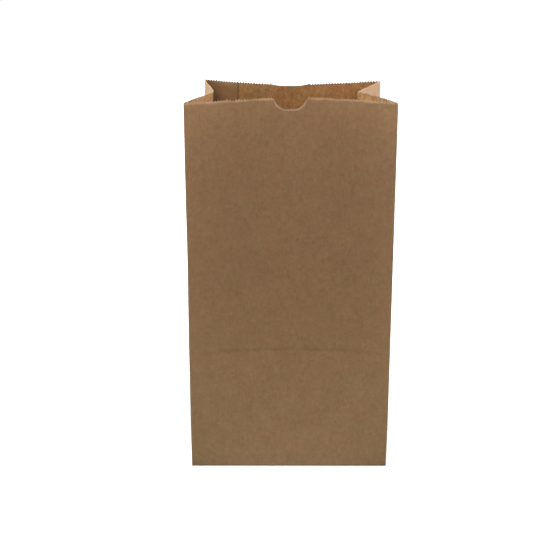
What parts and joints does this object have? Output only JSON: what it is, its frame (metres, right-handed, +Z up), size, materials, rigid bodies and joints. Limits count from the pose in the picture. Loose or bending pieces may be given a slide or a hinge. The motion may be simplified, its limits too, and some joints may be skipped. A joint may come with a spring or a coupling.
{
  "type": "paper lunch bag",
  "caption": "Self-opening brown kraft paper bag standing open, with side gussets, a flat folded base, a serrated mouth and a thumb notch in the front panel.",
  "frame": {"origin": "on the ground, under the middle of the base rectangle", "axes": "+Z up out of the mouth, front panel with the thumb notch towards -Y, +X to the right seen from the front"},
  "size_m": [0.1524, 0.1079, 0.281],
  "materials": {
    "kraft_paper": "unbleached kraft, machine finished: matt, slightly mottled, fine vertical fibre streaks"
  },
  "bodies": {
    "root": {"paper_bag": "kraft_paper"}
  },
  "joints": []
}
